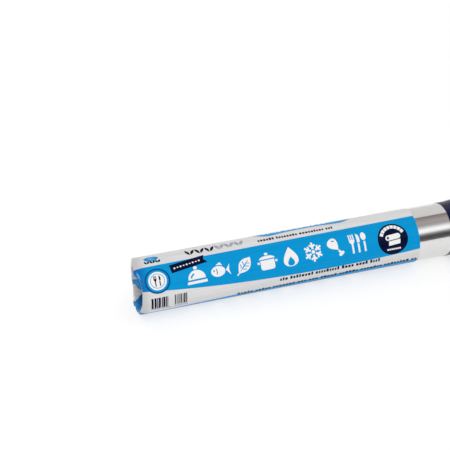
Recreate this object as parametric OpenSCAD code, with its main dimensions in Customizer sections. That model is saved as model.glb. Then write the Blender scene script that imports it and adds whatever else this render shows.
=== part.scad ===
// A household roll of aluminium foil in its printed film wrapper, lying on a
// table. The roll runs along X, its printed front panel looks towards -Y and
// up, and the origin is on the table under the middle of the pack.

/* [Foil] */
// Width of the foil, which is the length of the wound roll
foil_width = 300; // [200:5:450]
// Length of foil on the roll, in metres
foil_length = 7.5; // [4:0.5:30]
// Gauge of the foil
foil_gauge = 0.0105; // [0.009:0.0005:0.02]
// Share of the wound build that is metal, the rest being air between turns
wind_density = 0.85; // [0.7:0.01:0.95]

/* [Core] */
// Inside diameter of the cardboard core
core_bore = 44.2; // [30:0.2:50]
// Wall of the cardboard core
core_wall = 1.5; // [1:0.1:3]
// Clearance between the core and the first turn of foil
wind_clearance = 0.02; // [0.01:0.01:0.1]

/* [Film wrapper] */
// Thickness of the wrapping film
film_t = 0.2; // [0.15:0.05:0.4]
// Slack between the film and what it wraps
film_gap = 0.15; // [0.1:0.05:0.4]
// Depth to which the film's ends are tucked into the bore
tuck_depth = 26; // [12:1:45]
// Width of the flat on which the slack film lies
flat_width = 8; // [5:0.5:12]
// Width of the sealed lap along the back of the film
lap_width = 8; // [4:0.5:12]
// Place of the lap, in degrees round from straight down past the front
lap_angle = 300; // [280:1:310]

/* [Tucked ends] */
// How far the tight left end stands past the core
left_lip = 0.5; // [0.5:0.1:3]
// How much further the left end stands out where its film sags, low at the back
left_sag = 3.1; // [0:0.1:4]
// How much further the left end stands out low at the front
left_toe = 2.8; // [0:0.1:4]
// How much further the left end stands out in its soft fold, on top
left_fold = 3.4; // [0:0.1:4]
// How much more the corner of that fold stands out, high at the front
left_corner = 2.2; // [0:0.1:3]
// How far the loose right end stands past the core
right_lip = 3.2; // [0.8:0.1:6]
// How far the loose right end swells past the wrapped roll
right_swell = 0.7; // [0:0.1:1.5]
// How much further the right end stands out in its folds, high and low at the back
right_fold = 1; // [0:0.1:2]
// Height of the pleats at the mouth of the bore
pleat_height = 1.2; // [0.4:0.1:1.6]
// How many times higher the pleats are at the film's inner edge
pleat_growth = 1.7; // [1:0.1:2.5]
// Pleats round each tucked end
pleats = 13; // [9:1:18]

/* [Hidden] */

kraft = [0.72, 0.56, 0.38];
bright_foil = [0.80, 0.81, 0.83];
panel_blue = [0.05, 0.56, 0.84];

round_fn = 180;
bore_r = core_bore / 2;
core_r = bore_r + core_wall;
first_turn_r = core_r + wind_clearance;
wound_r = sqrt(pow(first_turn_r, 2) + 1000 * foil_length * foil_gauge / (PI * wind_density));

// The printed face of the film, outside the roll and inside the bore.
shell_r = wound_r + film_gap + film_t;
lining_r = bore_r - film_gap - film_t;
rim_mid_r = (shell_r + lining_r) / 2;
rim_half = (shell_r - lining_r) / 2;

// The corner of the flat, seen from the axis, in degrees from straight down.
flat_corner = atan(flat_width / 2 / shell_r);
lap_span = lap_width / shell_r * 180 / PI;
lap_step = 0.5;
lap_fade = 4;

// Bulges of each end: at what angle, how far out, and how far to either side.
ANGLE = 0;
OUT = 1;
SPREAD = 2;
left_bulges = [[349, left_sag, 24], [47, left_toe, 42], [174, left_fold, 34], [157, left_corner, 11]];
right_bulges = [[215, right_fold, 30], [330, right_fold, 25]];

// Each end of the film: how far it stands out and swells, where its pleats
// begin, how strongly they wander, and its bulges.
LIP = 0;
SWELL = 1;
PHASE = 2;
WANDER = 3;
BULGES = 4;
left_end = [left_lip, 0, 10, 24, left_bulges];
right_end = [right_lip, right_swell, 75, 38, right_bulges];

// Stations along the film: shares of the tuck, the turn over the lip in
// degrees, and distances from the end of the core.
lining_shares = [1, 0.55, 0.2, 0.06];
lip_turns = [180:-30:0];
shoulder_steps = [1.5, 5, 11];
shoulder_len = max(shoulder_steps);

// The film turns over the core's edges more squarely than a circle does, which
// would have a power of 1.
lip_power = 0.8;

// A full pleat draws the lip in by this share of its stand-off. No two pleats
// are the same: the lowest is lower than the highest by the second share.
crest_dip = 0.3;
pleat_variety = 0.5;

// n equal steps from a to b, with b and without a.
function steps(a, b, n) = [for (i = [1:n]) a + (b - a) * i / n];
function reversed(list) = [for (i = [len(list) - 1:-1:0]) list[i]];
function ease(t) = t * t * (3 - 2 * t);
function squared(v) = sign(v) * pow(abs(v), lip_power);

// Angles of the points round one ring, from straight down past the front.
ring = concat(
    steps(-flat_corner, flat_corner, 4),
    steps(flat_corner, lap_angle, 56),
    [lap_angle + lap_step],
    steps(lap_angle + lap_step, lap_angle + lap_span, 3),
    [lap_angle + lap_span + lap_fade],
    steps(lap_angle + lap_span + lap_fade, 360 - flat_corner, 4)
);

// How far an angle is from straight down, on either side.
function from_down(a) = abs(a > 180 ? a - 360 : a);
function between(a, b) = from_down((a - b + 360) % 360);
function total(list, i = 0) = i < len(list) ? list[i] + total(list, i + 1) : 0;

// Slack film stands on a narrow flat: from the flat's corners it runs
// straight until it touches the round roll.
function slack_r(a) =
    let (down = from_down(a))
    down <= flat_corner ? shell_r / cos(down)
    : down <= 2 * flat_corner ? shell_r / cos(2 * flat_corner - down)
    : shell_r;

// What swells is still pressed level by the table.
function swollen_r(a, swell) =
    let (down = from_down(a))
    down < 60 ? min(slack_r(a) + swell, shell_r / cos(down)) : slack_r(a) + swell;

// The outer layer of the lap rides on the inner one, and then settles.
function lap_rise(a) =
    a < lap_angle + lap_step / 2 || a > lap_angle + lap_span + lap_fade / 2 ? 0 : film_t;

// Height of the pleats round the bore, from 0 on the wall to about 1 on a
// crest: narrow folds with broad smooth stretches between them.
function pleat(end, a) =
    let (turn = pleats / 2 * a + end[PHASE] + end[WANDER] * sin(2 * a + 3 * end[PHASE]))
    pow(1 - abs(sin(turn)), 1.3) * (1 - pleat_variety * (1 - cos(3 * a + end[PHASE])) / 2);

// How far the lip stands past the core, whose end it clears everywhere.
function stand_off(end, a) =
    let (bulges = [for (b = end[BULGES]) b[OUT] * exp(-pow(between(a, b[ANGLE]) / b[SPREAD], 2))])
    max(film_t + film_gap, (end[LIP] + total(bulges)) * (1 - crest_dip * pleat(end, a)));

// One line of the film in the plane of the axis, as [past the core, radius],
// from its inner edge over the lip to the shoulder. The face is 0 for the
// printed one and 1 for the one that lies against the core and the foil.
function lining(end, a, face) =
    [for (s = lining_shares)
        let (height = pleat_height * (1 + (pleat_growth - 1) * s) * pleat(end, a))
        [-s * tuck_depth, lining_r - height + face * film_t]];

function lip(end, a, face) =
    let (
        out = stand_off(end, a) - face * film_t,
        outer = swollen_r(a, end[SWELL]) - rim_mid_r - face * film_t,
        inner = rim_half + pleat_height * pleat(end, a) - face * film_t
    )
    [for (turn = lip_turns)
        [out * squared(sin(turn)), rim_mid_r + (turn > 90 ? inner : outer) * squared(cos(turn))]];

function shoulder(end, a, face) =
    [for (s = shoulder_steps)
        let (settled = ease(s / shoulder_len))
        [-s, swollen_r(a, end[SWELL] * (1 - settled)) + lap_rise(a) * settled - face * film_t]];

function half_line(end, a, face) =
    concat(lining(end, a, face), lip(end, a, face), shoulder(end, a, face));

// The middle of the whole pack, between its two lips, is over the origin.
function reach(end) = max([for (a = ring) stand_off(end, a)]);
roll_mid_x = (reach(left_end) - reach(right_end)) / 2;
axis_z = shell_r;

function placed(side, past_and_r, a) =
    [roll_mid_x + side * (foil_width / 2 + past_and_r[0]),
     -past_and_r[1] * sin(a),
     axis_z - past_and_r[1] * cos(a)];

// The whole line, from the inner edge on the left to the one on the right.
function film_line(a, face) = concat(
    [for (p = half_line(left_end, a, face)) placed(-1, p, a)],
    [for (p = reversed(half_line(right_end, a, face))) placed(1, p, a)]
);

module film_wrapper() {
    points = [for (face = [0, 1], a = ring) each film_line(a, face)];
    around = len(ring);
    along = len(points) / (2 * around);
    last = along - 1;
    function at(face, j, k) = (face * around + j % around) * along + k;
    function quad(a, b, c, d) = [[a, b, c], [a, c, d]];
    printed_face = [for (j = [0:around - 1], k = [0:last - 1]) each
        quad(at(0, j, k), at(0, j, k + 1), at(0, j + 1, k + 1), at(0, j + 1, k))];
    hidden_face = [for (j = [0:around - 1], k = [0:last - 1]) each
        quad(at(1, j, k), at(1, j + 1, k), at(1, j + 1, k + 1), at(1, j, k + 1))];
    left_edge = [for (j = [0:around - 1]) each
        quad(at(0, j, 0), at(0, j + 1, 0), at(1, j + 1, 0), at(1, j, 0))];
    right_edge = [for (j = [0:around - 1]) each
        quad(at(0, j, last), at(1, j, last), at(1, j + 1, last), at(0, j + 1, last))];
    color(panel_blue)
        polyhedron(points = points, faces = concat(printed_face, hidden_face, left_edge, right_edge));
}

// A tube along the roll, centred on its width.
module wound_tube(inner_r, outer_r) {
    translate([roll_mid_x - foil_width / 2, 0, axis_z])
        rotate([0, 90, 0])
            linear_extrude(height = foil_width)
                difference() {
                    circle(r = outer_r, $fn = round_fn);
                    circle(r = inner_r, $fn = round_fn);
                }
}

module core_tube() {
    color(kraft)
        wound_tube(bore_r, core_r);
}

module foil_roll() {
    color(bright_foil)
        wound_tube(first_turn_r, wound_r);
}

core_tube();
foil_roll();
film_wrapper();
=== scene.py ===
"""Looks of the aluminium foil roll: film wrapper, wound foil, cardboard core and the ink of the print."""

import math
import random

import bpy
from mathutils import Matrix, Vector, noise


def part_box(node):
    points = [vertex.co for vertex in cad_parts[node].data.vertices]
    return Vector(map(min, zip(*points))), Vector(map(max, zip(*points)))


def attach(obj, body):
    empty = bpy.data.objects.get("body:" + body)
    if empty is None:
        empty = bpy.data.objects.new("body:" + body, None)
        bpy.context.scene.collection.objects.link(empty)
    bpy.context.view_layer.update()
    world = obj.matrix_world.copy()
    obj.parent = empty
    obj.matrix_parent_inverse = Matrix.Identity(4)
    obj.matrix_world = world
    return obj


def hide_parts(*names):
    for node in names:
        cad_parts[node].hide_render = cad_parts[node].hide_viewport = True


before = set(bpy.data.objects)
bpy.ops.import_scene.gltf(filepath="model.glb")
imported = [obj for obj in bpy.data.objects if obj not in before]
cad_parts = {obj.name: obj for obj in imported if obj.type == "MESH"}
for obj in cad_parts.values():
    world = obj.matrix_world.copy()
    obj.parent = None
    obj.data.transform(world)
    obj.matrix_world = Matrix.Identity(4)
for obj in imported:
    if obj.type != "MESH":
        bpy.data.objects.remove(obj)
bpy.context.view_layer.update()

MM = 0.001

# ---------------------------------------------------------------------------
# Sizes, in millimetres. The CAD boxes, in metres, give the places; the rest
# repeats the named values of the part's source.
# ---------------------------------------------------------------------------
foil_low, foil_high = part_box("foil_roll")
core_low, core_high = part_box("core_tube")

LEFT = core_low.x / MM
RIGHT = core_high.x / MM
AXIS_Z = (foil_low.z + foil_high.z) / 2 / MM
WOUND_R = (foil_high.z - foil_low.z) / 2 / MM
CORE_R = (core_high.z - core_low.z) / 2 / MM
CORE_WALL = 1.5
BORE_R = CORE_R - CORE_WALL
WIND_CLEARANCE = 0.02

FILM_T = 0.2
FILM_GAP = 0.15
SHELL_R = WOUND_R + FILM_GAP + FILM_T
LINING_R = BORE_R - FILM_GAP - FILM_T
RIM_MID_R = (SHELL_R + LINING_R) / 2
RIM_HALF = (SHELL_R - LINING_R) / 2
TUCK_DEPTH = 26
FLAT_WIDTH = 8
FLAT_CORNER = math.degrees(math.atan(FLAT_WIDTH / 2 / SHELL_R))

LAP_ANGLE = 300
LAP_WIDTH = 8
LAP_SPAN = math.degrees(LAP_WIDTH / SHELL_R)
LAP_STEP = 0.5
LAP_FADE = 4
SHOULDER = 11

PLEATS = 13
PLEAT_HEIGHT = 1.2
PLEAT_GROWTH = 1.7
PLEAT_VARIETY = 0.5
CREST_DIP = 0.3
LIP_POWER = 0.8

# Each end of the film: its side, where the core ends there, how far the lip
# stands out and swells, where its pleats begin, how strongly they wander, how
# crumpled it is, and its bulges as (angle, how far out, how far to either side).
LEFT_END = {
    "side": -1, "edge": LEFT, "lip": 0.5, "swell": 0, "phase": 10, "wander": 24, "crumple": 0.8,
    "bulges": [(349, 3.1, 24), (47, 2.8, 42), (174, 3.4, 34), (157, 2.2, 11)],
}
RIGHT_END = {
    "side": 1, "edge": RIGHT, "lip": 3.2, "swell": 0.7, "phase": 75, "wander": 38, "crumple": 1.0,
    "bulges": [(215, 1.0, 30), (330, 1.0, 25)],
}

# The print begins on the left lip. The label ends and the navy end begins
# this far along it.
PRINT_LEFT = LEFT - 1.2
LABEL_END = 253.6
NAVY_START = 285.3

# Columns and rings of the film's skin: the first two steps are in degrees.
FILM_COLUMNS = 300
COLUMN_STEP = 360 / FILM_COLUMNS
LIP_STEP = 12
LINING_STEPS = [0.6, 1.4, 2.4, 3.6, 5, 6.6, 8.4, 10.5, 13, 16, 19.5, 23, TUCK_DEPTH]
SHOULDER_STEPS = [0.7, 1.5, 2.5, 3.6, 5, 6.8, 8.8, SHOULDER]
BODY_STEP = 4

# Vertices of one ring are no further apart along the roll, in metres.
RING_TOLERANCE = 1e-6

# Noise on the surfaces, as (length along the roll, pitch round it, seed).
BODY_WAVES = (34, 6, 3)
BODY_WRINKLES = (16, 2.6, 8)
LIP_SWELLS = (9, 3.2, 21)
LIP_DENTS = (8, 2.4, 31)
LIP_WRINKLES = (5, 1.3, 37)
LINING_FOLDS = (12, 4.2, 51)
LINING_WRINKLES = (6, 1.9, 57)
RAGGED_EDGE = (1, 2.2, 63)
FOIL_BUCKLES = (26, 9, 71)

# How far the body's film stands off in its waves, and more near a crumpled end.
BODY_LOOSE = 0.05
END_LOOSE = 0.22
END_LOOSE_REACH = 14


# ---------------------------------------------------------------------------
# Modelling helpers
# ---------------------------------------------------------------------------
def deselect_all():
    bpy.ops.object.select_all(action="DESELECT")


def pick(obj):
    """Only this object is selected and active."""
    deselect_all()
    obj.select_set(True)
    bpy.context.view_layer.objects.active = obj


def added(name):
    """The object that an operator has just added, with its name."""
    obj = bpy.context.active_object
    obj.name = name
    obj.data.name = name
    return obj


def apply_place(obj):
    pick(obj)
    bpy.ops.object.transform_apply(location=True, rotation=True, scale=True)


def apply_modifier(obj, kind, **values):
    pick(obj)
    modifier = obj.modifiers.new(kind.lower(), kind)
    for name, value in values.items():
        setattr(modifier, name, value)
    bpy.ops.object.modifier_apply(modifier=modifier.name)


def start_edit(obj, kind="VERT"):
    """Enters edit mode on vertices, edges or faces, with none of them selected."""
    pick(obj)
    bpy.ops.object.mode_set(mode="EDIT")
    bpy.ops.mesh.select_mode(type=kind)
    bpy.ops.mesh.select_all(action="DESELECT")


def select_vertices(obj, wanted):
    """Selects the vertices that the test wants, and stays in edit mode."""
    start_edit(obj)
    bpy.ops.object.mode_set(mode="OBJECT")
    for vertex in obj.data.vertices:
        vertex.select = wanted(vertex.co)
    bpy.ops.object.mode_set(mode="EDIT")


def edit_all(obj, operator, **values):
    """Runs an operator on the whole mesh, in edit mode."""
    start_edit(obj)
    bpy.ops.mesh.select_all(action="SELECT")
    operator(**values)
    bpy.ops.object.mode_set(mode="OBJECT")


def cut_across(obj, axis, places):
    """Bisects the whole mesh at each place along an axis, in metres."""
    start_edit(obj)
    point = [0, 0, 0]
    normal = [0, 0, 0]
    normal[axis] = 1
    for place in places:
        point[axis] = place
        bpy.ops.mesh.select_all(action="SELECT")
        bpy.ops.mesh.bisect(plane_co=point, plane_no=normal, threshold=1e-7)
    bpy.ops.object.mode_set(mode="OBJECT")


def smooth(obj, angle):
    pick(obj)
    bpy.ops.object.shade_smooth_by_angle(angle=math.radians(angle))


def open_tube(name, radius, columns, left, right):
    """A tube without ends round the roll's axis."""
    deselect_all()
    bpy.ops.mesh.primitive_cylinder_add(
        vertices=columns,
        radius=radius * MM,
        depth=(right - left) * MM,
        end_fill_type="NOTHING",
        location=((left + right) / 2 * MM, 0, AXIS_Z * MM),
        rotation=(0, math.radians(90), 0),
    )
    obj = added(name)
    apply_place(obj)
    return obj


def extrude_rings(obj, end_x, profile):
    """Draws the open end at end_x out through a profile of (x, radius)."""
    select_vertices(obj, lambda co: abs(co.x - end_x * MM) < RING_TOLERANCE)
    x, radius = end_x, ring_radius(obj, end_x)
    for next_x, next_radius in profile:
        bpy.ops.mesh.extrude_region_move(TRANSFORM_OT_translate={"value": ((next_x - x) * MM, 0, 0)})
        share = next_radius / radius
        bpy.ops.transform.resize(value=(1, share, share), center_override=(next_x * MM, 0, AXIS_Z * MM))
        x, radius = next_x, next_radius
    bpy.ops.object.mode_set(mode="OBJECT")


def ring_radius(obj, x):
    """The radius of the ring at x, by one of its vertices."""
    for vertex in obj.data.vertices:
        if abs(vertex.co.x - x * MM) < RING_TOLERANCE:
            return from_axis(vertex.co)[1]
    raise ValueError("no ring there")


def from_axis(place):
    """A place in metres as its x and its radius, in millimetres, and its angle."""
    y = place.y / MM
    z = place.z / MM - AXIS_Z
    return place.x / MM, math.hypot(y, z), math.degrees(math.atan2(-y, -z)) % 360


# ---------------------------------------------------------------------------
# Form of the film. Angles a are in degrees round the axis, from straight down
# past the front.
# ---------------------------------------------------------------------------
def sin_d(angle):
    return math.sin(math.radians(angle))


def cos_d(angle):
    return math.cos(math.radians(angle))


def ease(t):
    t = min(max(t, 0), 1)
    return t * t * (3 - 2 * t)


def squared(v):
    return math.copysign(abs(v) ** LIP_POWER, v)


def from_down(a):
    a %= 360
    return abs(a - 360 if a > 180 else a)


def slack_r(a):
    """Slack film stands on a narrow flat and runs straight from its corners to the round roll."""
    down = from_down(a)
    if down <= FLAT_CORNER:
        return SHELL_R / cos_d(down)
    if down <= 2 * FLAT_CORNER:
        return SHELL_R / cos_d(2 * FLAT_CORNER - down)
    return SHELL_R


def swollen_r(a, swell):
    """What swells is still pressed level by the table."""
    down = from_down(a)
    radius = slack_r(a) + swell
    return min(radius, SHELL_R / cos_d(down)) if down < 60 else radius


def lap_rise(a):
    """The outer layer of the lap rides on the inner one, and then settles."""
    if a < LAP_ANGLE + LAP_STEP / 2 or a > LAP_ANGLE + LAP_SPAN + LAP_FADE / 2:
        return 0
    return FILM_T


def pleat(end, a):
    """Height of the pleats, from 0 on the wall to about 1 on a crest."""
    turn = PLEATS / 2 * a + end["phase"] + end["wander"] * sin_d(2 * a + 3 * end["phase"])
    return (1 - abs(sin_d(turn))) ** 1.3 * (1 - PLEAT_VARIETY * (1 - cos_d(3 * a + end["phase"])) / 2)


def stand_off(end, a):
    """How far the lip stands past the core."""
    bulges = sum(out * math.exp(-((from_down(a - at) / spread) ** 2)) for at, out, spread in end["bulges"])
    return max(FILM_T + FILM_GAP, (end["lip"] + bulges) * (1 - CREST_DIP * pleat(end, a)))


def ripple(x, a, length, pitch, seed):
    """Smooth noise on the roll's surface, about length long and pitch wide, from -1 to 1."""
    return noise.noise(Vector((x / length + seed, SHELL_R * sin_d(a) / pitch, SHELL_R * cos_d(a) / pitch)))


def crease(x, a, length, pitch, seed):
    """Sharp-crested noise, from 0 in the hollows to 1 on the creases."""
    return max(1 - abs(ripple(x, a, length, pitch, seed)) * 2.2, 0) ** 2


def gathers(end, past, a):
    """Creases that run from the mouth over the lip and fade along the roll."""
    height = 0
    for start, drift, rise, reach, width in end["creases"]:
        inwards = max(-past, 0)
        if inwards > reach * 2.5:
            continue
        away = from_down(a - start - drift * inwards) * SHELL_R * math.pi / 180
        if away < 4 * width:
            height += rise * math.exp(-((inwards / reach) ** 2)) * math.exp(-((away / width) ** 2))
    return height


def make_creases(seed, count):
    """Start angle, drift in degrees a millimetre, height, reach and width of each crease."""
    rng = random.Random(seed)
    creases = []
    for i in range(count):
        start = 360 * (i + rng.uniform(-0.35, 0.35)) / count
        drift, height = rng.uniform(-1.2, 1.2), rng.uniform(0.1, 0.35)
        reach, width = rng.uniform(2, 6), rng.uniform(0.6, 1.1)
        creases.append((start, drift, height, reach, width))
    return creases


LEFT_END["creases"] = make_creases(5, 22)
RIGHT_END["creases"] = make_creases(9, 26)


def body_point(x, a):
    """The film's place outside the roll, as (x, radius)."""
    end = LEFT_END if x < (LEFT + RIGHT) / 2 else RIGHT_END
    inwards = min(x - LEFT, RIGHT - x)
    settled = ease(inwards / SHOULDER)
    near_end = math.exp(-inwards / END_LOOSE_REACH)
    radius = swollen_r(a, end["swell"] * (1 - settled)) + lap_rise(a) * settled
    loose = BODY_LOOSE + END_LOOSE * near_end * end["crumple"]
    radius += loose * ripple(x, a, *BODY_WAVES) + 0.5 * loose * ripple(x, a, *BODY_WRINKLES)
    radius += gathers(end, -inwards, a)
    return x, max(radius, WOUND_R + FILM_T + 0.03)


def lip_point(end, turn, a):
    """turn is 0 where the lip leaves the outside and 180 where it enters the bore."""
    crumple = end["crumple"]
    x = end["edge"] + end["side"] * 2 * sin_d(turn)
    out = stand_off(end, a)
    out *= 1 + 0.22 * crumple * ripple(x, a, *LIP_SWELLS) * sin_d(turn)
    half = swollen_r(a, end["swell"]) - RIM_MID_R
    if turn > 90:
        half = RIM_HALF + PLEAT_HEIGHT * pleat(end, a)
    half += gathers(end, 0, a) if turn <= 90 else 0.5 * gathers(end, 0, a)
    radius = RIM_MID_R + half * squared(cos_d(turn))
    crumple *= min(out / 1.5, 1) * sin_d(turn)
    radius += crumple * (0.45 * ripple(x, a, *LIP_DENTS) + 0.3 * ripple(x, a, *LIP_WRINKLES))
    return end["edge"] + end["side"] * out * squared(sin_d(turn)), radius


def lining_point(end, depth, a):
    """The film's place inside the bore, with deeper folds and a ragged inner edge."""
    crumple = end["crumple"]
    share = depth / TUCK_DEPTH
    height = PLEAT_HEIGHT * (1 + (PLEAT_GROWTH - 1) * share) * pleat(end, a)
    fade = ease(depth / 2.5)
    x = end["edge"] - end["side"] * depth
    folds = 1.1 * crease(x, a, *LINING_FOLDS) + 0.5 * crease(x, a, *LINING_WRINKLES)
    ragged = 0.9 * ripple(0, a, *RAGGED_EDGE) * ease((share - 0.7) / 0.3)
    radius = LINING_R - height - 0.5 * gathers(end, 0, a) * (1 - fade)
    radius -= fade * crumple * folds * (0.6 + 0.4 * share)
    return x - end["side"] * ragged, radius


def shape_film(obj):
    """Sculpts the plain skin into the slack, lapped, pleated and crumpled film.

    The column after the lap's edge moves up to it, so that the edge is a step.
    """
    for vertex in obj.data.vertices:
        x, radius, a = from_axis(vertex.co)
        if COLUMN_STEP / 2 < a - LAP_ANGLE < 1.5 * COLUMN_STEP:
            a = LAP_ANGLE + LAP_STEP
        end = LEFT_END if x < 0 else RIGHT_END
        past = LEFT - x if x < 0 else x - RIGHT
        if past > 1e-4:
            turn = math.degrees(math.atan2(past, radius - RIM_MID_R))
            x, radius = lip_point(end, turn, a)
        elif radius < RIM_MID_R:
            x, radius = lining_point(end, -past, a)
        else:
            x, radius = body_point(x, a)
        z = max(AXIS_Z - radius * cos_d(a), 0)
        vertex.co = Vector((x, -radius * sin_d(a), z)) * MM


def film_wrapper():
    """The skin, ringed and drawn out over the lips into the bore, then shaped and given its wall."""
    film = open_tube("film_wrapper_skin", SHELL_R, FILM_COLUMNS, LEFT, RIGHT)
    label_x = PRINT_LEFT + LABEL_END
    navy_x = PRINT_LEFT + NAVY_START
    rings = [LEFT + s for s in SHOULDER_STEPS] + [RIGHT - s for s in SHOULDER_STEPS]
    x = LEFT + SHOULDER + BODY_STEP
    while x < RIGHT - SHOULDER - BODY_STEP / 2:
        if min(abs(x - label_x), abs(x - navy_x)) > BODY_STEP / 2:
            rings.append(x)
        x += BODY_STEP
    cut_across(film, 0, [ring * MM for ring in sorted(rings + [label_x, navy_x])])
    for end_x, side in ((LEFT, -1), (RIGHT, 1)):
        turns = range(LIP_STEP, 181, LIP_STEP)
        lip = [(end_x + side * sin_d(t), RIM_MID_R + RIM_HALF * cos_d(t)) for t in turns]
        lining = [(end_x - side * depth, LINING_R) for depth in LINING_STEPS]
        extrude_rings(film, end_x, lip + lining)
    edit_all(film, bpy.ops.mesh.normals_make_consistent, inside=False)
    shape_film(film)
    for material in (printed_film(), clear_film(), navy_film()):
        film.data.materials.append(material)
    for face in film.data.polygons:
        x = face.center.x / MM
        face.material_index = 0 if x < label_x else 1 if x < navy_x else 2
    apply_modifier(film, "SOLIDIFY", thickness=FILM_T * MM, offset=-1, use_even_offset=True)
    smooth(film, 40)
    return film


# ---------------------------------------------------------------------------
# Foil and core
# ---------------------------------------------------------------------------
FOIL_COLUMNS = 360
TAIL_ANGLE = 150
TAIL_STEP = 0.05
FOIL_RING_STEP = 10
FOIL_SLACK = 0.012
CORE_COLUMNS = 240
CORE_BEVEL = 0.25


def wound_foil():
    """The turns of foil, with the tail of the last one lying on the turn below."""
    inner_r = CORE_R + WIND_CLEARANCE
    foil = open_tube("foil_roll_wound", WOUND_R, FOIL_COLUMNS, LEFT, RIGHT)
    steps = range(FOIL_RING_STEP, int(RIGHT - LEFT), FOIL_RING_STEP)
    cut_across(foil, 0, [(LEFT + step) * MM for step in steps])
    for vertex in foil.data.vertices:
        x, _, a = from_axis(vertex.co)
        unwound = ((a - TAIL_ANGLE) % 360) / 360
        radius = WOUND_R - TAIL_STEP * unwound - FOIL_SLACK * (1 + ripple(x, a, *FOIL_BUCKLES))
        vertex.co.y = -radius * sin_d(a) * MM
        vertex.co.z = (AXIS_Z - radius * cos_d(a)) * MM
    apply_modifier(foil, "SOLIDIFY", thickness=(WOUND_R - TAIL_STEP - inner_r) * MM, offset=-1)
    smooth(foil, 30)
    foil.data.materials.append(bright_foil())
    return foil


def cardboard_core():
    """The core, with its cut ends slightly broken."""
    core = open_tube("core_tube_board", CORE_R, CORE_COLUMNS, LEFT, RIGHT)
    apply_modifier(core, "SOLIDIFY", thickness=(CORE_R - BORE_R) * MM, offset=-1)
    start_edit(core, "EDGE")
    bpy.ops.mesh.edges_select_sharp(sharpness=math.radians(60))
    bpy.ops.mesh.bevel(offset=CORE_BEVEL * MM, segments=2)
    bpy.ops.object.mode_set(mode="OBJECT")
    smooth(core, 40)
    core.data.materials.append(kraft_board())
    return core


# ---------------------------------------------------------------------------
# Flat artwork. A loop is a list of (u, v) in millimetres; a loop inside
# another one is a hole.
# ---------------------------------------------------------------------------
def arc(cu, cv, radius, start, end, points=10):
    angles = [start + (end - start) * i / points for i in range(points + 1)]
    return [(cu + radius * cos_d(t), cv + radius * sin_d(t)) for t in angles]


def oval(cu, cv, half_u, half_v, points=28):
    angles = [360 * i / points for i in range(points)]
    return [(cu + half_u * cos_d(t), cv + half_v * sin_d(t)) for t in angles]


def block(cu, cv, width, height):
    u, v = width / 2, height / 2
    return [(cu - u, cv - v), (cu + u, cv - v), (cu + u, cv + v), (cu - u, cv + v)]


def drop(cu, cv, width, height, points=32):
    """A teardrop with its tip up, or down if the height is negative."""
    angles = [360 * i / points for i in range(points)]
    return [
        (cu + width * 0.65 * sin_d(t) * sin_d(t / 2) ** 1.3, cv + height / 2 * cos_d(t))
        for t in angles
    ]


def lens(length, width, points=12):
    """A pointed oval along u."""
    shares = [i / points for i in range(points + 1)]
    upper = [(length * (t - 0.5), width / 2 * sin_d(180 * t)) for t in shares]
    lower = [(u, -v) for u, v in reversed(upper[1:-1])]
    return upper + lower


def moved(loops, du=0, dv=0, turn=0, scale=1):
    """The loops scaled, turned by degrees and then moved."""
    c, s = cos_d(turn) * scale, sin_d(turn) * scale
    return [[(du + u * c - v * s, dv + u * s + v * c) for u, v in loop] for loop in loops]


def cloche():
    """A round dish cover on its tray."""
    shine = arc(0, -2.6, 5.5, 112, 165) + arc(0, -2.6, 4.2, 165, 112)
    return [arc(0, -2.6, 7.3, 0, 180, 28), shine, oval(0, 6.5, 1.5, 1.4), block(0, -5.1, 16.4, 2.2)]


def pot():
    body = [(-6, 1.2), (6, 1.2)] + arc(3.8, -4.6, 2.2, 0, -90, 6) + arc(-3.8, -4.6, 2.2, -90, -180, 6)
    lid = [(6.7 * cos_d(t), 2.1 + 2.6 * sin_d(t)) for t in range(0, 181, 12)]
    return [body, lid, oval(0, 6.2, 1.5, 1.1), block(-7.6, -0.5, 1.8, 1.7), block(7.6, -0.5, 1.8, 1.7)]


def fish():
    body = oval(-1.9, 0, 5.9, 4.3, 36)
    gill = arc(-7.6, 0, 5.2, 28, -28) + arc(-7.6, 0, 4.4, -28, 28)
    tail = [(4.5, 0), (8.2, 4.4), (7.2, 0), (8.2, -4.4)]
    fin = [(-3.2, 5.1), (0.6, 7.2), (2.4, 4.4), (-0.4, 5.1)]
    return [body, gill, oval(-5.2, 0.9, 0.75, 0.75, 14), tail, fin]


def leaf():
    vein = moved([lens(12.5, 1.1)], -0.4)
    rib = [block(0, 0, 3, 0.7)]
    ribs = []
    for u in (-3.6, -0.6, 2.4):
        ribs += moved(rib, u + 1.2, 2.1, 50) + moved(rib, u + 1.2, -2.1, -50)
    stem = [block(-9.2, 0, 2, 1.1)]
    return moved([lens(16.6, 9.4, 20)] + vein + ribs + stem, 0.6, 0.6, 45)


def flame():
    return [drop(0, 0.2, 13.4, 16.4, 40), drop(0, -3.6, 6.2, 7.6)]


def snowflake():
    half = [(0.85, 2.3), (0.85, 3.9), (2.9, 5.4), (2.1, 6.6), (0.85, 5.7), (0.85, 8.1)]
    arm = half + [(-u, v) for u, v in reversed(half)]
    loops = [oval(0, 0, 1.6, 1.6, 6)]
    for turn in range(0, 360, 60):
        loops += moved([arm], turn=turn)
    return loops


def drumstick():
    knuckles = arc(1.25, -7.1, 1.35, 105, -95) + arc(-1.25, -7.1, 1.35, -85, -285)
    bone = [(0.95, -3.4)] + knuckles + [(-0.95, -3.4)]
    meat = drop(0, 2.7, 9.6, -11.4)
    shine = arc(0, 3.6, 3.2, 20, 75, 6) + arc(0, 3.6, 2.2, 75, 20, 6)
    return moved([meat, shine, bone], turn=35)


def fork():
    half = [(0.8, -8), (0.8, -0.2), (2.3, 1.8), (2.3, 8), (1.25, 8), (1.25, 3.4), (0.5, 3.4), (0.5, 8)]
    return [half + [(-u, v) for u, v in reversed(half)]]


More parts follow.
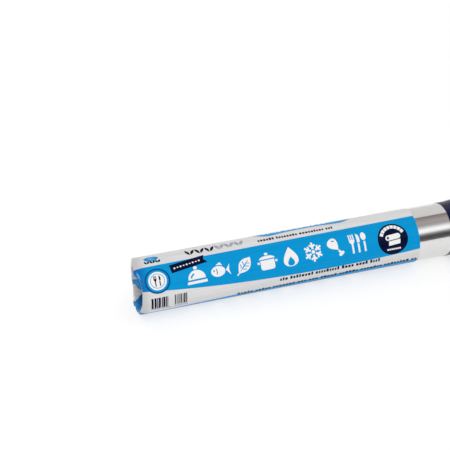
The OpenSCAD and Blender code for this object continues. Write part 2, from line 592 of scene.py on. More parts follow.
def knife():
    return [block(0, -4.2, 1.6, 7.6), [(-0.8, 0.3), (1.5, 0.3), (1.8, 4), (1.3, 6.6), (-0.8, 8.2)]]


def spoon():
    return [block(0, -3.7, 1.6, 8.6), oval(0, 4.8, 2.3, 3.4, 22)]


def cutlery():
    return moved(fork(), -5.4) + moved(knife(), -0.2) + moved(spoon(), 5.2)


def wound_sheet():
    """A roll with a sheet drawn from it."""
    roll = arc(-5, 2.2, 2.5, 90, 270) + arc(5, 2.2, 2.5, -90, 90)
    sheet = [(-4.6, -1.1), (6.9, -1.1), (6.0, -5.2), (-5.5, -5.2)]
    return [roll, oval(-5, 2.2, 1.1, 1.3, 16), sheet]


def swallow_tail(length, height):
    u, v = length / 2, height / 2
    return [[(-u, -v), (u + 0.4, -v), (u - 1.9, 0), (u, v), (-u, v)]]


def blocks_line(rng, length, height):
    """A line of small blocks in groups, as long as a line of small print."""
    loops, u = [], 0.0
    left_in_group = rng.randint(3, 8)
    while u < length:
        if left_in_group:
            width = rng.uniform(0.42, 0.66) * height
            tall = height * rng.choice((0.8, 0.8, 0.8, 1.0))
            loops.append(block(u + width / 2, tall / 2 - height / 2, width, tall))
            left_in_group -= 1
            u += width + 0.24 * height
        else:
            left_in_group = rng.randint(3, 9)
            u += 0.45 * height
    return loops


def garland(count, pitch, size, width):
    """Slanted leaves in a row, leaning to and fro."""
    loops = []
    for i in range(count):
        loops += moved([lens(size, width, 8)], pitch * i, 0, 62 if i % 2 else 112)
    return loops


def ripples(half_width, half_height):
    """An oval with two wavy slits across it, each pointed at its ends."""
    loops = [oval(0, 0, half_width, half_height, 36)]
    for v, reach in ((0.32, 0.62), (-0.34, 0.6)):

        def edge(t, half_slit):
            wave = half_height * v + 0.5 * cos_d(30 * t)
            return half_width * reach * t / 6, wave + half_slit * (1 - abs(t) / 6)

        upper = [edge(t, 0.28) for t in range(-6, 7)]
        lower = [edge(t, -0.28) for t in range(5, -6, -1)]
        loops.append(upper + lower)
    return loops


def upright_bars(rng, width, height):
    """Plain upright bars of mixed widths."""
    loops, u = [], 0.0
    while u < width:
        bar = rng.choice((0.6, 0.9, 1.3, 1.8))
        if u + bar <= width:
            loops.append(block(u + bar / 2, 0, bar, height))
        u += bar + rng.choice((0.45, 0.55, 0.8))
    return loops


# ---------------------------------------------------------------------------
# Layout of the print. A place on the roll is (along, angle): millimetres from
# the left lip, and degrees up from the front horizon over the top.
# ---------------------------------------------------------------------------
PRINT_R = SHELL_R
PANEL_PITCH = 128
ICON_START = 48.5
ICON_PITCH = 21.1
PANEL_ICONS = [cloche, fish, leaf, pot, flame, snowflake, drumstick, cutlery]
PANEL_ROW_ANGLE = 38.0
PANEL_ROW_RISE = 0.7
PANEL_ICON_SCALE = 1.06
UNDER_ROW_ANGLE = -59.0
UNDER_ICON_SCALE = 0.85
BADGE_PLACE = (14.6, 42.1)
BADGE_RING_R, BADGE_BLUE_R, BADGE_WHITE_R = 11.0, 9.6, 7.9
BADGE_LINE_R = (6.3, 5.8)
BADGE_ICON_SCALE = 0.56
DISC_PLACE = (228.5, 37.4)
DISC_R = 14.2
DISC_BAND_R = (12.6, 9.6)
PRINT_SEED = 11


def at(loops, along, angle, turn=0, scale=1):
    """The loops at their place on the roll."""
    return moved(loops, along, math.radians(angle) * PRINT_R, turn, scale)


def panel_marks(marks, shift):
    """Icons, badge, ribbon and disc of one blue panel, moved round by an angle."""
    for i, icon in enumerate(PANEL_ICONS):
        angle = PANEL_ROW_ANGLE + PANEL_ROW_RISE * i + shift
        marks["white"] += at(icon(), ICON_START + ICON_PITCH * i, angle, 1.2, PANEL_ICON_SCALE)

    badge = (BADGE_PLACE[0], BADGE_PLACE[1] + shift)
    outer = oval(0, 0, BADGE_RING_R, BADGE_RING_R, 64)
    middle = oval(0, 0, BADGE_BLUE_R, BADGE_BLUE_R, 64)
    inner = oval(0, 0, BADGE_WHITE_R, BADGE_WHITE_R, 56)
    marks["ring"] += at([outer, middle], *badge)
    marks["blue"] += at([middle, inner], *badge)
    marks["white"] += at([inner] + [oval(0, 0, r, r, 48) for r in BADGE_LINE_R], *badge)
    tools = moved(fork(), -1.9, scale=BADGE_ICON_SCALE) + moved(knife(), 1.9, scale=BADGE_ICON_SCALE)
    marks["navy_over"] += at(tools, *badge)

    marks["navy"] += at(swallow_tail(32, 7.6), 43.4, 65.5 + shift, 8)
    beads = []
    for i in range(9):
        beads += moved([lens(1.9, 1.1 if i % 2 else 1.7, 6)], -12 + 2.8 * i)
    marks["white_over"] += at(beads, 43.0, 64.8 + shift, 8)

    disc = (DISC_PLACE[0], DISC_PLACE[1] + shift)
    marks["navy"] += at([oval(0, 0, DISC_R, DISC_R, 80)], *disc)
    band_out, band_in = DISC_BAND_R
    for start in range(25, 155, 17):
        piece = arc(0, 0, band_out, start, start + 14.5, 5) + arc(0, 0, band_in, start + 14.5, start, 5)
        marks["white_over"] += at([piece], *disc)
    marks["white_over"] += at(moved(wound_sheet(), 0.3, -0.2, 4, 0.95), *disc)
    marks["white_over"] += at([oval(1.9 * i, -9.0, 0.8, 0.9, 12) for i in range(-3, 4)], *disc)


def under_row(marks):
    """The panels' icons once more on the field that lies under the roll, in reverse order."""
    for i, icon in enumerate(reversed(PANEL_ICONS)):
        place = (ICON_START + ICON_PITCH * i, UNDER_ROW_ANGLE)
        marks["white"] += at(icon(), *place, 0, UNDER_ICON_SCALE)


def small_marks(marks):
    """Bars, lines of blocks and rows of leaves between the panels."""
    rng = random.Random(PRINT_SEED)
    marks["navy"] += at(upright_bars(rng, 16.6, 12.4), 7.2, -6.9)
    marks["navy"] += at(upright_bars(rng, 11.2, 11.6), 27.6, -5.8)
    marks["grey"] += at(blocks_line(rng, 15, 2.2), 8.4, -23.5)
    marks["grey"] += at(blocks_line(rng, 11, 2.2), 27.8, -23.5)
    marks["navy"] += at(blocks_line(rng, 92, 3.5), 122.0, -5.2, 0.6)
    marks["navy"] += at(blocks_line(rng, 167, 3.8), 84.1, -27.0, 0.8)
    marks["navy"] += at(blocks_line(rng, 69, 3.2), 109.0, 90.6)
    marks["navy"] += at(garland(6, 4.4, 8.6, 2.8), 46.0, 94.8, -0.6)
    marks["grey"] += at(garland(6, 4.4, 8.4, 3.2), 72.6, 96.4)
    marks["navy"] += at(garland(6, 2.4, 4.0, 2.0), 8.4, 86.0)
    marks["blue"] += at(ripples(6.4, 3.5), 14.2, 96.8)


def print_marks():
    """All loops of the print, by ink. What lies over another ink has its own entry."""
    marks = {name: [] for name in INKS}
    panel_marks(marks, 0)
    panel_marks(marks, PANEL_PITCH)
    marks["white"] += at(garland(12, 5.2, 7.2, 2.9), 118.0, 122.0)
    under_row(marks)
    small_marks(marks)
    return marks


# ---------------------------------------------------------------------------
# Ink pieces
# ---------------------------------------------------------------------------
# The layer is cut into a grid, so that it bends with the film. The grid starts
# a little off the artwork's own points.
INK_GRID_ANGLE = 2.6
INK_GRID_STEP = 3
INK_GRID_START = 0.13
INK_T = 0.015
INK_LIFT = 0.04
INK_OVER_LIFT = 0.07
INK_WRAP_FROM = 0.3


def flat_art(name, loops):
    """Closed flat curves, filled and made a mesh."""
    curve = bpy.data.curves.new(name, "CURVE")
    curve.dimensions = "2D"
    curve.fill_mode = "BOTH"
    for loop in loops:
        spline = curve.splines.new("POLY")
        spline.points.add(len(loop) - 1)
        for point, (u, v) in zip(spline.points, loop):
            point.co = (u * MM, v * MM, 0, 1)
        spline.use_cyclic_u = True
    obj = bpy.data.objects.new(name, curve)
    bpy.context.collection.objects.link(obj)
    pick(obj)
    bpy.ops.object.convert(target="MESH")
    return bpy.context.active_object


def ink_piece(name, loops, film, lift, material):
    """A thin layer of ink, wrapped onto the film."""
    art = flat_art(name, loops)
    us = [u for loop in loops for u, v in loop]
    vs = [v for loop in loops for u, v in loop]
    step_v = math.radians(INK_GRID_ANGLE) * PRINT_R
    steps_u = range(int(min(us)), int(max(us)) + INK_GRID_STEP, INK_GRID_STEP)
    steps_v = range(int(min(vs) / step_v) - 1, int(max(vs) / step_v) + 2)
    cut_across(art, 0, [(step + INK_GRID_START) * MM for step in steps_u])
    cut_across(art, 1, [step_v * step * MM for step in steps_v])
    edit_all(art, bpy.ops.mesh.remove_doubles, threshold=2e-6)
    for vertex in art.data.vertices:
        along, angle = vertex.co.x, vertex.co.y / (PRINT_R * MM)
        radius = (SHELL_R + INK_WRAP_FROM) * MM
        vertex.co = (
            PRINT_LEFT * MM + along,
            -radius * math.cos(angle),
            AXIS_Z * MM + radius * math.sin(angle),
        )
    edit_all(art, bpy.ops.mesh.normals_make_consistent, inside=False)
    face_out(art)
    apply_modifier(
        art, "SHRINKWRAP", target=film, wrap_method="NEAREST_SURFACEPOINT",
        wrap_mode="ABOVE_SURFACE", offset=lift * MM,
    )
    apply_modifier(art, "SOLIDIFY", thickness=INK_T * MM, offset=-1)
    smooth(art, 40)
    art.data.materials.append(material)
    return art


def face_out(art):
    """Turns every face of a wrapped layer away from the roll's axis."""
    middle = Vector((0, 0, AXIS_Z * MM))
    start_edit(art, "FACE")
    bpy.ops.object.mode_set(mode="OBJECT")
    for face in art.data.polygons:
        outwards = face.center - middle
        outwards.x = 0
        face.select = face.normal.dot(outwards) < 0
    bpy.ops.object.mode_set(mode="EDIT")
    bpy.ops.mesh.flip_normals()
    bpy.ops.object.mode_set(mode="OBJECT")


# ---------------------------------------------------------------------------
# Node helpers
# ---------------------------------------------------------------------------
def feed(tree, node, inputs):
    """Links the sockets given to a node's inputs, and sets the values given."""
    for name, value in inputs.items():
        if isinstance(value, bpy.types.NodeSocket):
            tree.links.new(value, node.inputs[name])
        else:
            node.inputs[name].default_value = value


def put(tree, kind, inputs=None, **values):
    """A new node, its properties set and its inputs linked or set."""
    node = tree.nodes.new(kind)
    for name, value in values.items():
        setattr(node, name, value)
    feed(tree, node, inputs or {})
    return node


def calc(tree, operation, *terms):
    """The output of a Math node."""
    inputs = {i: term for i, term in enumerate(terms)}
    return put(tree, "ShaderNodeMath", inputs, operation=operation).outputs[0]


def noise_field(tree, vector, scale, detail, **more):
    """Smooth noise, from about 0 to 1."""
    inputs = {"Vector": vector, "Scale": scale, "Detail": detail, **more}
    return put(tree, "ShaderNodeTexNoise", inputs).outputs["Fac"]


def mapped(tree, value, low, high, new_low=0.0, new_high=1.0):
    """The value taken from one range to another, and held inside it."""
    inputs = {"Value": value, "From Min": low, "From Max": high, "To Min": new_low, "To Max": new_high}
    return put(tree, "ShaderNodeMapRange", inputs).outputs["Result"]


# Places of the colours among a Mix node's inputs and outputs.
MIX_LOW, MIX_HIGH, MIXED = 6, 7, 2


def step_mix(tree, mask, low, high):
    """Colour low where the mask is 0 and high where it is 1."""
    inputs = {"Factor": mask, MIX_LOW: low, MIX_HIGH: high}
    return put(tree, "ShaderNodeMix", inputs, data_type="RGBA").outputs[MIXED]


def new_group(name, inputs, outputs):
    tree = bpy.data.node_groups.new(name, "ShaderNodeTree")
    for socket_name, kind in inputs:
        tree.interface.new_socket(name=socket_name, in_out="INPUT", socket_type=kind)
    for socket_name, kind in outputs:
        tree.interface.new_socket(name=socket_name, in_out="OUTPUT", socket_type=kind)
    return tree, put(tree, "NodeGroupInput"), put(tree, "NodeGroupOutput")


def new_material(name):
    material = bpy.data.materials.new(name)
    material.use_nodes = True
    tree = material.node_tree
    shader = tree.nodes["Principled BSDF"]
    coordinates = put(tree, "ShaderNodeTexCoord").outputs["Object"]
    return material, tree, shader, coordinates


def relief(tree, height, strength, distance):
    """The normals of a surface with this relief."""
    inputs = {"Strength": strength, "Distance": distance, "Height": height}
    return put(tree, "ShaderNodeBump", inputs).outputs["Normal"]


# ---------------------------------------------------------------------------
# Material groups
# ---------------------------------------------------------------------------
def make_film_grain():
    """Fine tension lines along the roll and shallow dents, as on tight film."""
    tree, entry, leave = new_group(
        "film_grain",
        [("Vector", "NodeSocketVector")],
        [("Height", "NodeSocketFloat"), ("Sheen", "NodeSocketFloat")],
    )
    place = entry.outputs["Vector"]
    stretched = put(tree, "ShaderNodeMapping", {"Vector": place, "Scale": (0.06, 1.0, 1.0)}).outputs[0]
    lines = noise_field(tree, stretched, 420.0, 3.0, Roughness=0.55)
    dents = noise_field(tree, place, 120.0, 2.0)
    height = calc(tree, "MULTIPLY_ADD", dents, 0.35, lines)
    feed(tree, leave, {"Height": height, "Sheen": lines})
    return tree


# Near the left end the print is painted darker, as painted shade on the lip, fading out over its first 9
# mm along the roll.
# On the lining the print is painted darker from the rim inwards, as painted shade in the bore, and painted
# lighter at the back, as painted light shining through the slack film. Along a hard crease it is painted
# pale, as a painted highlight.
WHITE_END_SHADE = (0.52, 0.51, 0.51, 1)
BLUE_END_SHADE = (0.002, 0.13, 0.42, 1)
WHITE_LINING_SHADE = (0.66, 0.65, 0.65, 1)
BLUE_LINING_SHADE = (0.02, 0.22, 0.56, 1)
WHITE_DEEP = (0.46, 0.46, 0.47, 1)
BLUE_DEEP = (0.004, 0.035, 0.15, 1)
BLUE_PAINTED_LIGHT = (0.045, 0.30, 0.66, 1)
# The pale tone of the painted highlights along creases.
BLUE_PAINTED_HIGHLIGHT = (0.10, 0.46, 0.80, 1)

# Edges of the print's fields, in degrees up from the front horizon over the
# top. A bowed edge is (its middle along the roll, its angle there, its bow).
FRONT_LOW = (172.0, 0.3, 0.00086)
FRONT_HIGH = 75.2
FRONT_RISE = 0.0235
UNDER_LOW = -104.0
UNDER_HIGH = (192.0, -22.2, -0.00052)
BEHIND_LOW = 131.0
BEHIND_SKEW = 68.0
BEHIND_HIGH = 203.0

# The field behind rises in a hump: its middle and half length along the roll,
# and how far it rises.
HUMP_MIDDLE = 154.0
HUMP_HALF = 45.0
HUMP_RISE = (156.0, 22.5, 0.0075)

# Painted highlights along hard creases: places along the roll and round it, lean, width and reach.
FOLD_HIGHLIGHT = (-0.5, 58.7, -0.226, 1.0, 4.2)
LINING_HIGHLIGHT = (4.9, 214.0, 0.32, 1.0, 6.0)

# Inside the bore the print's edges are gathered unevenly, by up to half this
# many degrees, and drift on over this depth.
GATHERED = 30.0
DRIFT_DEPTH = 8.0


def make_print_fields():
    """White and blue fields of the print, by the angle up from the front horizon."""
    tree, entry, leave = new_group(
        "print_fields",
        [("Vector", "NodeSocketVector"), ("White", "NodeSocketColor"), ("Blue", "NodeSocketColor")],
        [("Color", "NodeSocketColor")],
    )

    def plus(value, factor, term):
        return calc(tree, "MULTIPLY_ADD", value, factor, term)

    def times(value, factor):
        return calc(tree, "MULTIPLY", value, factor)

    place = entry.outputs["Vector"]
    xyz = put(tree, "ShaderNodeSeparateXYZ", {0: place})
    up = calc(tree, "SUBTRACT", xyz.outputs["Z"], AXIS_Z * MM)
    back = times(xyz.outputs["Y"], -1.0)
    angle = times(calc(tree, "ARCTAN2", up, back), 180 / math.pi)
    past_start = plus(xyz.outputs["X"], 1 / MM, -PRINT_LEFT)
    along = calc(tree, "MAXIMUM", past_start, 0.0)
    radius = calc(tree, "SQRT", plus(up, up, times(back, back)))
    inside = calc(tree, "LESS_THAN", radius, (RIM_MID_R - 0.3) * MM)
    uneven = calc(tree, "SUBTRACT", noise_field(tree, place, 110.0, 1.0), 0.5)
    round_angle = calc(tree, "WRAP", angle, 0.0, 360.0)
    angle = calc(tree, "ADD", angle, times(uneven, times(inside, GATHERED)))
    tucked = times(inside, calc(tree, "MINIMUM", along, DRIFT_DEPTH))

    def fading(reach):
        """1 at the print's start, fading along the roll."""
        return calc(tree, "EXPONENT", calc(tree, "DIVIDE", along, -reach))

    def between(value, low, high):
        return times(calc(tree, "GREATER_THAN", value, low), calc(tree, "LESS_THAN", value, high))

    def bowed(middle, value, bow):
        """A curve along the roll that has its value in its middle and bows away from it."""
        off = calc(tree, "SUBTRACT", along, middle)
        return plus(times(off, off), bow, value)

    front_high = calc(tree, "ADD", plus(fading(3), -1.8, FRONT_HIGH), times(along, FRONT_RISE))
    front = between(angle, bowed(*FRONT_LOW), front_high)

    under_low = plus(tucked, -2.0, plus(fading(30), -5.0, UNDER_LOW))
    under_high = plus(fading(2), 12.0, bowed(*UNDER_HIGH))
    under = between(angle, under_low, under_high)

    from_hump = calc(tree, "DIVIDE", calc(tree, "SUBTRACT", along, HUMP_MIDDLE), HUMP_HALF)
    hump = calc(tree, "EXPONENT", times(calc(tree, "POWER", from_hump, 8.0), -1.0))
    hump = times(hump, bowed(*HUMP_RISE))
    skewed = calc(tree, "MAXIMUM", fading(9), inside)
    behind_low = calc(tree, "SUBTRACT", plus(skewed, BEHIND_SKEW, BEHIND_LOW), hump)
    behind_low = plus(inside, 8.0, behind_low)
    behind_high = plus(inside, 0.5, plus(fading(30), 11.0, BEHIND_HIGH))
    behind_high = plus(tucked, 2.5, behind_high)
    behind = between(calc(tree, "WRAP", angle, 0.0, 360.0), behind_low, behind_high)

    def painted_highlight(middle, middle_angle, lean, width, reach):
        """A painted highlight along a hard crease round a place, leaning along the roll and fading to its
        ends.
        """
        scale = math.radians(SHELL_R)
        over = plus(round_angle, scale, -scale * middle_angle)
        beside = calc(tree, "SUBTRACT", past_start, plus(over, lean, middle))
        over = calc(tree, "POWER", calc(tree, "DIVIDE", over, reach), 2.0)
        beside = calc(tree, "POWER", calc(tree, "DIVIDE", beside, width), 2.0)
        return mapped(tree, calc(tree, "ADD", over, beside), 1.0, 0.1, 0.0, 0.85)

    mask = calc(tree, "MINIMUM", calc(tree, "ADD", calc(tree, "ADD", front, under), behind), 1.0)
    # Painted shade: the print is darker at the left end and fades to its own colour over 9 mm along the
    # roll.
    settled = mapped(tree, along, 0.0, 9.0)
    near_rim = fading(6)
    white = step_mix(tree, settled, WHITE_END_SHADE, entry.outputs["White"])
    # Inside the bore the white is painted shade, darker deeper in from the rim.
    white = step_mix(tree, inside, white, step_mix(tree, near_rim, WHITE_DEEP, WHITE_LINING_SHADE))
    blue = step_mix(tree, settled, BLUE_END_SHADE, entry.outputs["Blue"])
    # A painted highlight along the crease of the fold.
    blue = step_mix(tree, painted_highlight(*FOLD_HIGHLIGHT), blue, BLUE_PAINTED_HIGHLIGHT)
    # The lining's blue is painted shade, darker deeper in from the rim, and painted light in the field at
    # the back.
    lining = step_mix(tree, near_rim, BLUE_DEEP, BLUE_LINING_SHADE)
    lining = step_mix(tree, behind, lining, BLUE_PAINTED_LIGHT)
    # A painted highlight along a crease of the lining.
    lining = step_mix(tree, painted_highlight(*LINING_HIGHLIGHT), lining, BLUE_PAINTED_HIGHLIGHT)
    blue = step_mix(tree, inside, blue, lining)
    feed(tree, leave, {"Color": step_mix(tree, mask, white, blue)})
    return tree


GROUPS = {}


def group(name):
    """One of the two groups, made when it is first used."""
    makers = {"film_grain": make_film_grain, "print_fields": make_print_fields}
    if name not in GROUPS:
        GROUPS[name] = makers[name]()
    return GROUPS[name]


def film_bump(tree, coordinates, shader, strength, rough_low, rough_high):
    """Grain of the film, in the normal and the roughness. Gives the sheen mask back."""
    grain = put(tree, "ShaderNodeGroup", {"Vector": coordinates}, node_tree=group("film_grain"))
    sheen = grain.outputs["Sheen"]
    feed(tree, shader, {
        "Normal": relief(tree, grain.outputs["Height"], strength, 0.0002),
        "Roughness": mapped(tree, sheen, 0.3, 0.7, rough_low, rough_high),
    })
    return sheen


# ---------------------------------------------------------------------------
# Materials
# ---------------------------------------------------------------------------
# Each film and ink colour is paired with a DIM, DEEP or PALE tone; together they paint sheen streaks along
# the film's tension lines.
FILM_WHITE = (0.712, 0.704, 0.704, 1)
FILM_WHITE_DIM = (0.66, 0.65, 0.65, 1)
PANEL_BLUE = (0.0006, 0.285, 0.618, 1)
PANEL_BLUE_DEEP = (0.0006, 0.271, 0.598, 1)
NAVY = (0.0018, 0.005, 0.033, 1)
NAVY_DEEP = (0.0014, 0.004, 0.026, 1)
NAVY_PALE = (0.004, 0.009, 0.05, 1)
INK_WHITE = (0.84, 0.84, 0.84, 1)
INK_WHITE_DEEP = (0.78, 0.78, 0.78, 1)
RING_BLUE = (0.002, 0.075, 0.27, 1)
RING_BLUE_DEEP = (0.002, 0.065, 0.24, 1)
INK_GREY = (0.36, 0.37, 0.43, 1)
INK_GREY_DEEP = (0.33, 0.34, 0.40, 1)
PRINT_GLOSS = 0.06
PRINT_COAT = 0.4
COAT_REACH = 3

# Each ink: its material's name, its colour, the deeper tone of its painted
# sheen streaks, and how far it lies off the film.
INKS = {
    "white": ("white_ink", INK_WHITE, INK_WHITE_DEEP, INK_LIFT),
    "navy": ("navy_ink", NAVY, NAVY_DEEP, INK_LIFT),
    "blue": ("blue_ink", PANEL_BLUE, PANEL_BLUE_DEEP, INK_LIFT),
    "ring": ("ring_ink", RING_BLUE, RING_BLUE_DEEP, INK_LIFT),
    "grey": ("grey_ink", INK_GREY, INK_GREY_DEEP, INK_LIFT),
    "white_over": ("pale_ink", INK_WHITE, INK_WHITE_DEEP, INK_OVER_LIFT),
    "navy_over": ("dark_ink", NAVY, NAVY_DEEP, INK_OVER_LIFT),
}


def printed_film():
    """Print on white film, glossier at the left end, where the film is creased."""
    material, tree, shader, coordinates = new_material("printed_film")
    sheen = film_bump(tree, coordinates, shader, 0.35, 0.2, 0.34)
    # The sheen of the film's tension lines is painted into the colour, as darker and lighter streaks.
    streak = mapped(tree, sheen, 0.35, 0.65)
    white = step_mix(tree, streak, FILM_WHITE_DIM, FILM_WHITE)
    blue = step_mix(tree, streak, PANEL_BLUE_DEEP, PANEL_BLUE)
    inputs = {"Vector": coordinates, "White": white, "Blue": blue}
    fields = put(tree, "ShaderNodeGroup", inputs, node_tree=group("print_fields"))
    x = put(tree, "ShaderNodeSeparateXYZ", {0: coordinates}).outputs["X"]
    feed(tree, shader, {
        "Base Color": fields.outputs["Color"],
        "Coat Weight": mapped(tree, x, (PRINT_LEFT + COAT_REACH) * MM, PRINT_LEFT * MM, 0.0, PRINT_COAT),
        "Coat Roughness": 0.12,
        "Specular IOR Level": PRINT_GLOSS,
    })
    return material


def clear_film():
    """Unprinted film, nearly invisible over the foil."""
    material, tree, shader, coordinates = new_material("clear_film")
    sheen = film_bump(tree, coordinates, shader, 0.3, 0.08, 0.16)
    # The sheen mask paints lighter and darker streaks into the clear film's faint colour.
    tint = step_mix(tree, sheen, (0.20, 0.20, 0.21, 1), (0.45, 0.45, 0.46, 1))
    feed(tree, shader, {"Base Color": tint, "Alpha": 0.045})
    return material


def navy_film():
    material, tree, shader, coordinates = new_material("navy_film")
    sheen = film_bump(tree, coordinates, shader, 0.4, 0.16, 0.3)
    # The sheen mask paints paler streaks into the navy, as painted sheen.
    colour = step_mix(tree, sheen, NAVY, NAVY_PALE)
    feed(tree, shader, {"Base Color": colour, "Specular IOR Level": 0.25})
    return material


def ink(name, colour, deep):
    material, tree, shader, coordinates = new_material(name)
    sheen = film_bump(tree, coordinates, shader, 0.35, 0.2, 0.34)
    # The sheen mask paints darker streaks into the ink, as painted sheen.
    colour = step_mix(tree, sheen, deep, colour)
    feed(tree, shader, {"Base Color": colour, "Specular IOR Level": PRINT_GLOSS})
    return material


def bright_foil():
    """Rolled aluminium: fine lines along the strip and a few soft buckles."""
    material, tree, shader, coordinates = new_material("bright_foil")
    stretched = put(tree, "ShaderNodeMapping", {"Vector": coordinates, "Scale": (1.0, 0.04, 0.04)})
    lines = noise_field(tree, stretched.outputs[0], 1500.0, 3.0)
    buckles = noise_field(tree, coordinates, 45.0, 1.0)
    feed(tree, shader, {
        "Base Color": step_mix(tree, lines, (0.78, 0.775, 0.77, 1), (0.88, 0.875, 0.87, 1)),
        "Metallic": 1.0,
        "Roughness": mapped(tree, lines, 0.0, 1.0, 0.09, 0.17),
        "Normal": relief(tree, calc(tree, "MULTIPLY_ADD", lines, 0.04, buckles), 0.12, 0.0003),
    })
    return material


# How far the joint of the core's plies runs along it in one turn, in metres.
PLY_PITCH = 0.062


def kraft_board():
    """Spiral-wound board: flecked fibres and the helical joint of its plies."""
    material, tree, shader, coordinates = new_material("kraft_board")
    fibres = noise_field(tree, coordinates, 900.0, 4.0, Roughness=0.65)
    clouds = noise_field(tree, coordinates, 60.0, 2.0)
    tone = calc(tree, "MULTIPLY_ADD", clouds, 0.6, calc(tree, "MULTIPLY", fibres, 0.4))
    colour = step_mix(tree, tone, (0.33, 0.21, 0.11, 1), (0.50, 0.35, 0.20, 1))
    xyz = put(tree, "ShaderNodeSeparateXYZ", {0: coordinates})
    up = calc(tree, "SUBTRACT", xyz.outputs["Z"], AXIS_Z * MM)
    turn = calc(tree, "DIVIDE", calc(tree, "ARCTAN2", up, xyz.outputs["Y"]), 2 * math.pi)
    helix = calc(tree, "FRACT", calc(tree, "MULTIPLY_ADD", xyz.outputs["X"], 1 / PLY_PITCH, turn))
    joint = calc(tree, "LESS_THAN", calc(tree, "ABSOLUTE", calc(tree, "SUBTRACT", helix, 0.5)), 0.008)
    height = calc(tree, "SUBTRACT", calc(tree, "MULTIPLY", fibres, 0.3), joint)
    feed(tree, shader, {
        "Base Color": step_mix(tree, joint, colour, (0.20, 0.12, 0.06, 1)),
        "Roughness": mapped(tree, fibres, 0.0, 1.0, 0.75, 0.95),
        "Specular IOR Level": 0.25,
        "Normal": relief(tree, height, 0.5, 0.0003),
    })
    return material


# ---------------------------------------------------------------------------
# Studio
# ---------------------------------------------------------------------------
# Reflected studio, by the angle up from the front horizon over the top: a dark
# gap above the floor, a long softbox, a dim wall, and a pale wall behind.
STUDIO_STRIPS = [
    (0, (0.12, 0.115, 0.11)),
    (6, (0.06, 0.056, 0.052)),
    (14, (0.022, 0.02, 0.018)),
    (22, (0.03, 0.03, 0.03)),
    (30, (0.25, 0.25, 0.26)),
    (38.5, (0.95, 0.95, 0.96)),
    (41, (1.0, 1.0, 1.0)),
    (49, (1.0, 1.0, 1.0)),
    (57, (0.64, 0.64, 0.64)),
    (64, (0.39, 0.38, 0.38)),
    (70, (0.31, 0.285, 0.29)),
    (78, (0.345, 0.305, 0.295)),
    (90, (0.30, 0.265, 0.26)),
    (101, (0.21, 0.185, 0.18)),
    (107.5, (0.12, 0.108, 0.104)),
    (110.5, (0.63, 0.61, 0.60)),
    (180, (0.63, 0.63, 0.63)),
]
WHITE = (1, 1, 1, 1)
STRIP_LEVEL = 1.3
WORLD_LEVEL = 0.95
SIDE_DIMMING = 0.5


def studio_world():
    world = bpy.data.worlds.new("studio")
    bpy.context.scene.world = world
    world.use_nodes = True
    tree = world.node_tree
    tree.nodes.clear()
    direction = put(tree, "ShaderNodeTexCoord").outputs["Generated"]
    xyz = put(tree, "ShaderNodeSeparateXYZ", {0: direction})
    back = calc(tree, "MULTIPLY", xyz.outputs["Y"], -1.0)
    angle = calc(tree, "ARCTAN2", xyz.outputs["Z"], back)
    ramp = put(tree, "ShaderNodeValToRGB", {"Fac": calc(tree, "DIVIDE", angle, math.pi)})
    ramp.color_ramp.elements.remove(ramp.color_ramp.elements[0])
    for i, (degrees, colour) in enumerate(STUDIO_STRIPS):
        element = ramp.color_ramp.elements[0] if i == 0 else ramp.color_ramp.elements.new(degrees / 180)
        element.position = degrees / 180
        element.color = (*colour, 1)
    light_path = put(tree, "ShaderNodeLightPath")
    sideways = calc(tree, "MULTIPLY", xyz.outputs["X"], xyz.outputs["X"])
    level = calc(tree, "MULTIPLY_ADD", sideways, -WORLD_LEVEL * SIDE_DIMMING, WORLD_LEVEL)

    def glow(colour, strength):
        return put(tree, "ShaderNodeBackground", {"Color": colour, "Strength": strength}).outputs[0]

    def shown_to(ray, shown, otherwise):
        """One glow for a kind of ray, and another for the rest."""
        inputs = {0: light_path.outputs[ray], 1: otherwise, 2: shown}
        return put(tree, "ShaderNodeMixShader", inputs).outputs[0]

    strips = glow(ramp.outputs["Color"], STRIP_LEVEL)
    surroundings = shown_to("Is Glossy Ray", strips, glow(WHITE, level))
    surroundings = shown_to("Is Camera Ray", glow(WHITE, 1.0), surroundings)
    put(tree, "ShaderNodeOutputWorld", {"Surface": surroundings})


# The softbox stands above and to the left of the camera and faces the roll,
# in metres.
SOFTBOX_PLACE = Vector((-0.55, -1.0, 1.35))
SOFTBOX_AIM = Vector((0, 0, 0.02))


def key_lamp():
    deselect_all()
    bpy.ops.object.light_add(type="AREA", location=SOFTBOX_PLACE)
    lamp = added("key_softbox")
    lamp.data.shape = "RECTANGLE"
    lamp.data.size = 1.8
    lamp.data.size_y = 1.0
    lamp.data.energy = 9.0
    lamp.rotation_euler = (SOFTBOX_PLACE - SOFTBOX_AIM).to_track_quat("Z", "Y").to_euler()
    lamp.visible_glossy = False


# The table lights the roll as white paper does. Seen directly or mirrored, part
# of its white is its own, so that the shadow on it stays soft.
TABLE_WHITE = (0.93, 0.93, 0.93, 1)
TABLE_SEEN = (0.36, 0.36, 0.36, 1)
TABLE_LIFT = 0.67


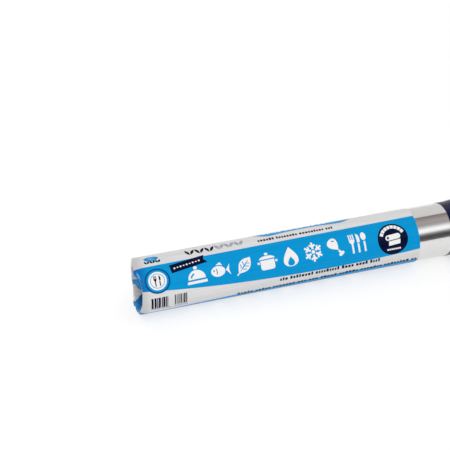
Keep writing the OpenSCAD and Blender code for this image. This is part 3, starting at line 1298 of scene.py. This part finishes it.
def table_top():
    deselect_all()
    bpy.ops.mesh.primitive_plane_add(size=12, location=(0, 0, 0))
    floor = added("table_top")
    material, tree, shader, _ = new_material("table_top")
    light_path = put(tree, "ShaderNodeLightPath")
    seen = calc(tree, "MAXIMUM", light_path.outputs["Is Camera Ray"], light_path.outputs["Is Glossy Ray"])
    seen = calc(tree, "MAXIMUM", seen, light_path.outputs["Is Transmission Ray"])
    feed(tree, shader, {
        "Base Color": step_mix(tree, seen, TABLE_WHITE, TABLE_SEEN),
        "Roughness": 0.9,
        "Specular IOR Level": 0.0,
        "Emission Color": WHITE,
        "Emission Strength": calc(tree, "MULTIPLY", seen, TABLE_LIFT),
    })
    floor.data.materials.append(material)


# The camera of the photograph, fitted to the roll's outline: millimetres from
# the middle of the wound roll, and the direction that it looks from.
CAMERA_PLACE = Vector((-313.77, -790.12, 644.60))
CAMERA_AZIMUTH = -17.03
CAMERA_ELEVATION = 35.82
CAMERA_LENS = 96.0


def photograph_camera():
    deselect_all()
    middle = Vector(((LEFT + RIGHT) / 2, 0, AXIS_Z))
    bpy.ops.object.camera_add(location=(CAMERA_PLACE + middle) * MM)
    camera = added("camera")
    camera.data.sensor_width = 36
    camera.data.lens = CAMERA_LENS
    camera.data.clip_end = 30
    level = cos_d(CAMERA_ELEVATION)
    towards = Vector((
        sin_d(CAMERA_AZIMUTH) * level,
        -cos_d(CAMERA_AZIMUTH) * level,
        sin_d(CAMERA_ELEVATION),
    ))
    camera.rotation_euler = (-towards).to_track_quat("-Z", "Y").to_euler()
    bpy.context.scene.camera = camera


# ---------------------------------------------------------------------------
# Making
# ---------------------------------------------------------------------------
bpy.context.scene.view_settings.view_transform = "Standard"
photograph_camera()
studio_world()
key_lamp()
table_top()

film = film_wrapper()
foil = wound_foil()
core = cardboard_core()

marks = print_marks()
inks = []
for name, (material_name, colour, deep, lift) in INKS.items():
    inks.append(ink_piece(f"print_{name}", marks[name], film, lift, ink(material_name, colour, deep)))

for piece, node in ((film, "film_wrapper"), (foil, "foil_roll"), (core, "core_tube")):
    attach(piece, "root")
    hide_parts(node)
for piece in inks:
    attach(piece, "root")
